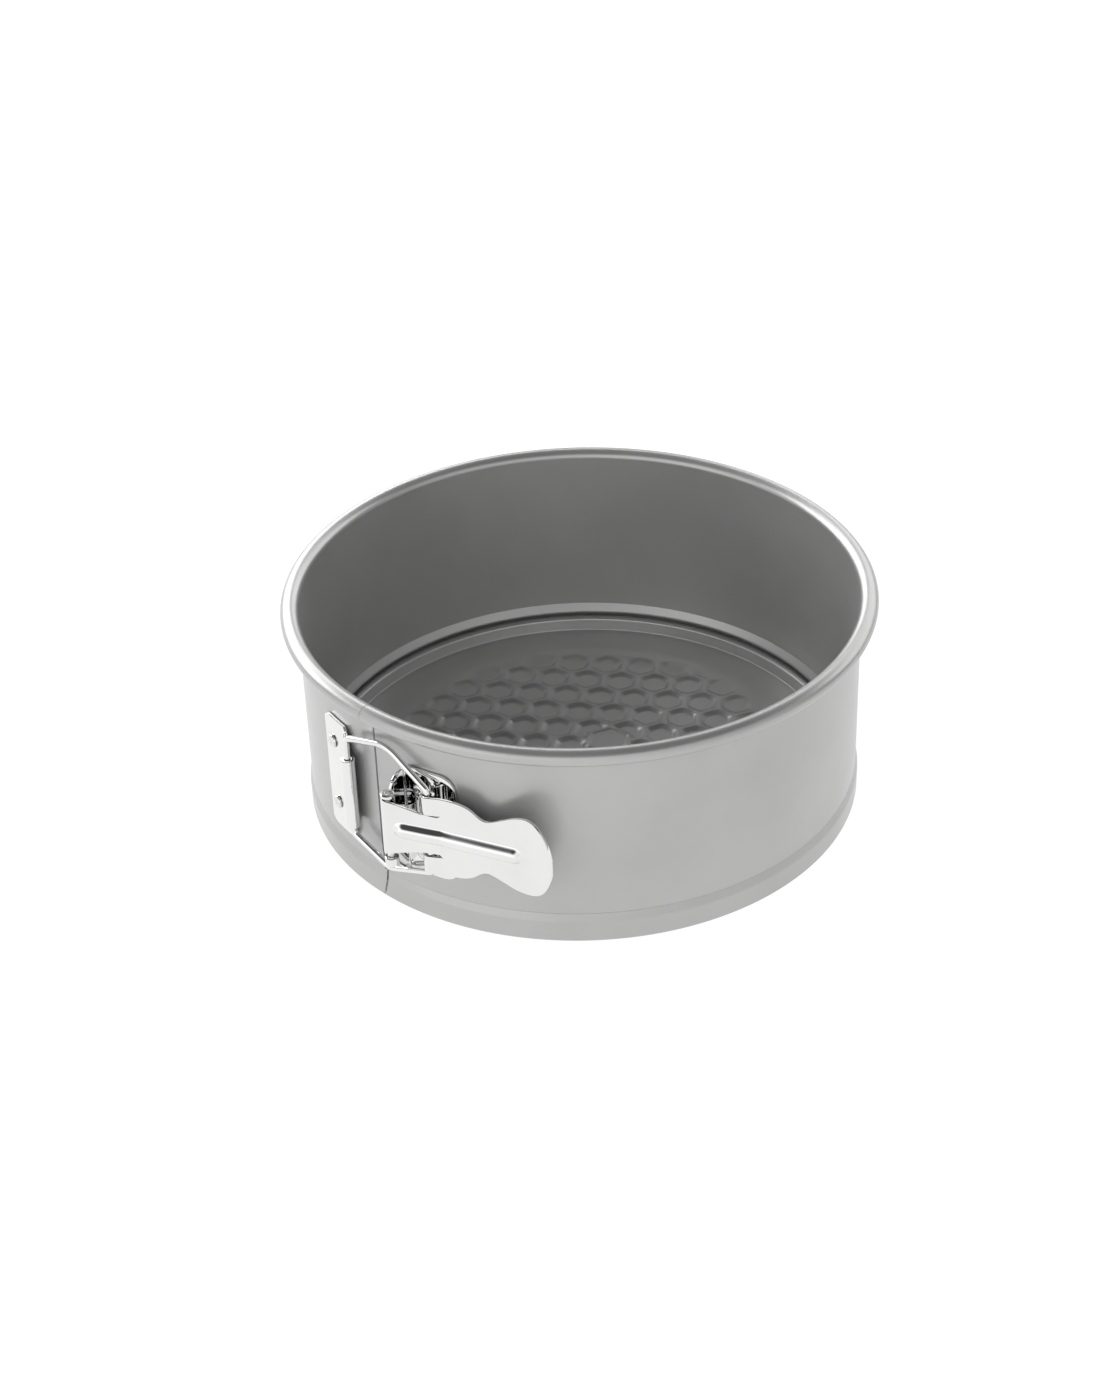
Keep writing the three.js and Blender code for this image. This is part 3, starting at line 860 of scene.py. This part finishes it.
def build_rivet(name, azimuth, height, body):
    """A rivet through the wall and a bracket, with a domed head outside and a flat one inside.
    It is made along Z from the wall's inner face, then laid along the radius."""
    grip = SHEET + PLATE + 0.9 * MM
    inner = 2.4 * MM
    shank = 1.5 * MM
    head = 2.2 * MM
    dome = 0.65 * MM
    profile = [
        (0.2 * MM, -0.55 * MM),
        (inner - 0.15 * MM, -0.55 * MM),
        (inner, -0.4 * MM),
        (inner, -0.1 * MM),
        (inner - 0.1 * MM, 0),
        (shank, 0),
        (shank, grip - 0.25 * MM),
        (head - 0.08 * MM, grip - 0.25 * MM),
        (head, grip - 0.1 * MM),
        (head, grip + 0.1 * MM),
    ]
    steps = 12
    for i in range(1, steps):
        angle = math.radians(90 * i / steps)
        profile.append((head * math.cos(angle), grip + 0.1 * MM + dome * math.sin(angle)))
    profile.append((0.1 * MM, grip + 0.1 * MM + dome))
    points, faces = closed_lathe(profile, 40, peened)
    mesh = mesh_from(name, points, faces, sharp=45)
    along_radius = Matrix.Rotation(math.radians(azimuth - 90), 4, "Z")
    laid_down = Matrix.Rotation(math.pi / 2, 4, "Y")
    foot = at_azimuth(azimuth, WALL_RADIUS - SHEET - 0.2 * MM)
    mesh.transform(Matrix.Translation((foot.x, foot.y, height)) @ along_radius @ laid_down)
    place(name + "_peened", mesh, STEEL, body, [name])


def build_rivets(bracket, azimuth, body):
    """The two rivets of a bracket, each at the height of the node it stands for."""
    for word in ("lower", "upper"):
        rivet_node = f"{bracket}_rivet_{word}"
        rivet_low, rivet_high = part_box(rivet_node)
        build_rivet(rivet_node, azimuth, (rivet_low.z + rivet_high.z) / 2, body)


def build_pin():
    """The hinge pin, with rounded ends."""
    half = (pin_high.z - pin_low.z) / 2
    profile = [
        (0.1 * MM, -half),
        (WIRE - 0.35 * MM, -half),
        (WIRE - 0.1 * MM, -half + 0.1 * MM),
        (WIRE, -half + 0.35 * MM),
    ]
    profile += [(radius, -height) for radius, height in reversed(profile)]
    points, faces = closed_lathe(profile, 32)
    mesh = mesh_from("hinge_pin_turned", points, faces)
    mesh.transform(Matrix.Translation((FULCRUM.x, FULCRUM.y, LATCH_Z)))
    place("hinge_pin_turned", mesh, STEEL, "band_front_right", ["hinge_pin"])


# ---------------------------------------------------------------- latch: brackets

PLATE_MIDDLE = WALL_RADIUS + 0.3 * MM + PLATE / 2
HOOK_HALF = 12.5 * MM
HOOK_TURN = 240
BAIL_PLATE_AZIMUTH = -16.3
BAIL_RIVET_AZIMUTH = -13.4
FULCRUM_PLATE_AZIMUTH = 19.4
FULCRUM_RIVET_AZIMUTH = 11.6
EAR_HALF = (pin_high.z - pin_low.z) / 2 - 0.4 * MM
RIB_RADIUS = 97.5 * MM
RIB_HALF = 17.8 * MM
EAR_HEIGHT = 3 * MM
BAIL_PLATE_HALF = 20.5 * MM
FULCRUM_PLATE_HALF = 19 * MM
PLATE_STEPS = 40
RISE_START = 3.6
RISE_END = 0.8


def wall_arc(start, end, rise=lambda azimuth: 0):
    """Points along the wall in a bracket's middle surface, from start up to end, which is left
    out. rise(azimuth) lifts a point off the wall."""
    points = []
    for i in range(PLATE_STEPS):
        azimuth = start + (end - start) * i / PLATE_STEPS
        points.append(at_azimuth(azimuth, PLATE_MIDDLE + rise(azimuth)))
    return points


def build_bail_bracket():
    """A plate riveted to the wall, whose free end steps outward and curls round the bail."""
    hook_azimuth = azimuth_of(HOOK_AXIS)
    step_out = HOOK_AXIS.length - CURL - PLATE_MIDDLE

    def rise(azimuth):
        return step_out * smoothstep(azimuth, hook_azimuth - RISE_START, hook_azimuth - RISE_END)

    hook_start = at_azimuth(hook_azimuth, HOOK_AXIS.length - CURL)
    path = wall_arc(BAIL_PLATE_AZIMUTH, hook_azimuth, rise)
    path += bent_path(hook_start, hook_azimuth, [("bend", CURL, -HOOK_TURN)])
    left = path[0].x
    neck = HOOK_AXIS.x - BARREL
    tall = BAIL_PLATE_HALF
    outline = [
        (left, tall - 1.8 * MM),
        (left + 0.5 * MM, tall - 0.9 * MM),
        (left + 1.6 * MM, tall - 0.2 * MM),
        (left + 3 * MM, tall),
        (neck - 2 * MM, tall),
        (neck - 1.1 * MM, tall - 0.4 * MM),
        (neck - 0.5 * MM, tall - 1.4 * MM),
        (neck - 0.3 * MM, tall - 2.2 * MM),
        (neck - 0.1 * MM, HOOK_HALF + 0.6 * MM),
        (neck + 0.4 * MM, HOOK_HALF),
    ]
    grid = strip_grid(path, lambda x: -lerp_table(x, outline), lambda x: lerp_table(x, outline), 28)
    mesh = thickened("bail_bracket_stamping", [grid], PLATE)
    place("bail_bracket_stamping", mesh, CHROME, "band_front_left", ["bail_bracket"])


def build_fulcrum_bracket():
    """A plate riveted to the wall, whose end bends outward as a rib with two ears that hold
    the hinge pin."""
    rib_azimuth = azimuth_of(FULCRUM)
    bend = 1.1 * MM
    bend_azimuth = rib_azimuth + math.degrees(bend / PLATE_MIDDLE)
    rib_end = FULCRUM.length - BARREL - 0.3 * MM
    path = wall_arc(FULCRUM_PLATE_AZIMUTH, bend_azimuth)
    corner = at_azimuth(bend_azimuth, PLATE_MIDDLE)
    path += bent_path(corner, rib_azimuth + 180, [("bend", bend, 90)])
    flat_end = path[-1].length
    out = at_azimuth(rib_azimuth, 1)
    steps = 16
    path += [out * (flat_end + (rib_end - flat_end) * i / steps) for i in range(1, steps + 1)]
    outer = [out * (rib_end + (RIB_RADIUS - rib_end) * i / 4) for i in range(5)]
    right = path[0].x
    tall = FULCRUM_PLATE_HALF
    plate = [
        (right - 5 * MM, tall),
        (right - 3.4 * MM, tall - 0.35 * MM),
        (right - 1.9 * MM, tall - 1.2 * MM),
        (right - 0.8 * MM, tall - 2.7 * MM),
        (right, tall - 5 * MM),
    ]
    corner_drops = [(7.2, 0), (4.9, 0.2), (3.5, 0.55), (2.5, 1), (1.5, 1.7), (0.7, 2.7), (0, 4.4)]
    rib = [(RIB_RADIUS - back * MM, RIB_HALF - drop * MM) for back, drop in corner_drops]
    shoulder = [(rib_azimuth, 18 * MM), (rib_azimuth + 1.5, tall)]

    def half_at(point):
        azimuth = azimuth_of(point)
        if abs(azimuth - rib_azimuth) < 0.02 and point.length > PLATE_MIDDLE + 0.3 * MM:
            return lerp_table(point.length, rib)
        return min(lerp_table(azimuth, shoulder), lerp_table(point.x, plate))

    def spread_rows(line, low, high, rows):
        """Rows of points over line, from low(point) up to high(point) above the latch's middle."""
        grid = []
        for j in range(rows + 1):
            share = j / rows
            heights = [LATCH_Z + low(p) * (1 - share) + high(p) * share for p in line]
            grid.append([(p.x, p.y, height) for p, height in zip(line, heights)])
        return grid

    grids = [spread_rows(path, lambda p: -half_at(p), half_at, 28)]
    inner = {side: BARREL_HALF + 0.3 * MM + side * tongue_shift(FULCRUM.x) for side in (-1, 1)}
    for side in (-1, 1):
        ear_edge = side * inner[side]
        grids.append(spread_rows(outer, lambda p: ear_edge, lambda p: side * half_at(p), 8))
    mesh = thickened("fulcrum_bracket_stamping", grids, PLATE)
    place("fulcrum_bracket_stamping", mesh, CHROME, "band_front_right",
          ["fulcrum_bracket"])
    for side, word in ((-1, "lower"), (1, "upper")):
        build_ear(f"fulcrum_ear_{word}", side, max(inner[side], EAR_HALF - EAR_HEIGHT))


def build_ear(name, side, low):
    """One of the two round ears of the fulcrum bracket, bored for the hinge pin."""
    bore = WIRE + 0.15 * MM
    profile = [
        (BARREL - 0.3 * MM, low),
        (BARREL - 0.1 * MM, low + 0.15 * MM),
        (BARREL - 0.1 * MM, EAR_HALF - 0.2 * MM),
        (BARREL - 0.35 * MM, EAR_HALF),
        (bore, EAR_HALF),
        (bore, low),
        (BARREL - 0.3 * MM, low),
    ]
    points, faces = lathed(profile, 32)
    ear = mesh_from(name, [(x, y, side * z) for x, y, z in points], faces)
    ear.transform(Matrix.Translation((FULCRUM.x, FULCRUM.y, LATCH_Z)))
    place(name, ear, CHROME, "band_front_right")


# ---------------------------------------------------------------- studio

CAMERA_AZIMUTH = 44.3
CAMERA_ELEVATION = 35.161
CAMERA_DISTANCE = 0.860
CAMERA_ROLL = 1.601
CAMERA_TILT = -1.580
CAMERA_TURN = -0.519
LENS = 66.28
SENSOR_WIDTH = 36
FLOOR_GAP = 0.2 * MM
SOFTBOX_SWING = 140
SOFTBOX_ELEVATION = 28
SOFTBOX_DISTANCE = 1.4
SOFTBOX_WIDTH = 1.7
SOFTBOX_HEIGHT = 0.9


def build_floor():
    """A large white floor under the pan."""
    work = bmesh.new()
    bmesh.ops.create_grid(work, x_segments=12, y_segments=12, size=4)
    mesh = bpy.data.meshes.new("studio_floor")
    work.to_mesh(mesh)
    work.free()
    mesh.materials.append(studio_floor())
    floor = bpy.data.objects.new("studio_floor", mesh)
    bpy.context.scene.collection.objects.link(floor)
    floor.location.z = band_low.z - FLOOR_GAP


def toward(azimuth, elevation):
    """Unit vector from the pan towards an azimuth and elevation."""
    flat = at_azimuth(azimuth, math.cos(math.radians(elevation)))
    return Vector((flat.x, flat.y, math.sin(math.radians(elevation))))


def build_camera():
    """A long lens in front of the latch, to its right, and a little tilted in the hand."""
    back = toward(CAMERA_AZIMUTH, CAMERA_ELEVATION)
    right = Vector((0, 0, 1)).cross(back).normalized()
    up = back.cross(right)
    roll = Matrix.Rotation(math.radians(CAMERA_ROLL), 3, "Z")
    tilt = Matrix.Rotation(math.radians(CAMERA_TILT), 3, "X")
    turn = Matrix.Rotation(math.radians(CAMERA_TURN), 3, "Y")
    rows = roll @ tilt @ turn @ Matrix((right, up, back))
    data = bpy.data.cameras.new("camera")
    data.lens = LENS
    data.sensor_width = SENSOR_WIDTH
    data.clip_end = 20
    camera = bpy.data.objects.new("camera", data)
    bpy.context.scene.collection.objects.link(camera)
    place_at = back * CAMERA_DISTANCE + Vector((AXIS.x, AXIS.y, 0))
    camera.matrix_world = Matrix.Translation(place_at) @ rows.transposed().to_4x4()
    bpy.context.scene.camera = camera


def softbox(name, azimuth, power):
    """A soft area light that faces the pan."""
    data = bpy.data.lights.new(name, "AREA")
    data.shape = "RECTANGLE"
    data.size = SOFTBOX_WIDTH
    data.size_y = SOFTBOX_HEIGHT
    data.energy = power
    lamp = bpy.data.objects.new(name, data)
    bpy.context.scene.collection.objects.link(lamp)
    direction = toward(azimuth, SOFTBOX_ELEVATION)
    lamp.location = direction * SOFTBOX_DISTANCE + Vector((AXIS.x, AXIS.y, 0))
    lamp.rotation_euler = direction.to_track_quat("Z", "Y").to_euler()


def build_light():
    """Two large softboxes either side behind the pan, and a soft room."""
    softbox("softbox_left", CAMERA_AZIMUTH - SOFTBOX_SWING, power=17)
    softbox("softbox_right", CAMERA_AZIMUTH + SOFTBOX_SWING, power=9)
    build_room()


def build_room():
    """The room around the pan: bright up to a height in front of it, brighter to the left, dim
    behind, and dark overhead."""
    world = bpy.data.worlds.new("studio")
    bpy.context.scene.world = world
    world.use_nodes = True
    tree = world.node_tree
    direction = tree.nodes.new("ShaderNodeTexCoord").outputs["Generated"]

    def along(axis):
        dot = tree.nodes.new("ShaderNodeVectorMath")
        dot.operation = "DOT_PRODUCT"
        dot.inputs[1].default_value = axis
        tree.links.new(direction, dot.inputs[0])
        return dot.outputs["Value"]

    facing_front = along(toward(CAMERA_AZIMUTH, 0))
    facing_left = along(toward(CAMERA_AZIMUTH - 90, 0))
    facing_up = along((0, 0, 1))
    front = ranged(tree, facing_front, low=0.35, high=1.1, start=-0.3, end=0.5)
    left = ranged(tree, facing_left, low=0.7, high=1.3, start=-0.8, end=0.8)
    strength = ranged(tree, facing_up, low=1.06, high=0.06, start=0.62, end=0.8)
    for factor in (front, left):
        product = tree.nodes.new("ShaderNodeMath")
        product.operation = "MULTIPLY"
        tree.links.new(strength, product.inputs[0])
        tree.links.new(factor, product.inputs[1])
        strength = product.outputs["Value"]
    background = tree.nodes["Background"]
    background.inputs["Color"].default_value = (1, 1, 1, 1)
    tree.links.new(strength, background.inputs["Strength"])


build_camera()
build_band()
build_base()
build_lever()
build_bail()
build_bail_bracket()
build_fulcrum_bracket()
build_pin()
build_rivets("bail", BAIL_RIVET_AZIMUTH, "band_front_left")
build_rivets("fulcrum", FULCRUM_RIVET_AZIMUTH, "band_front_right")
build_floor()
build_light()
bpy.context.scene.view_settings.view_transform = "Standard"
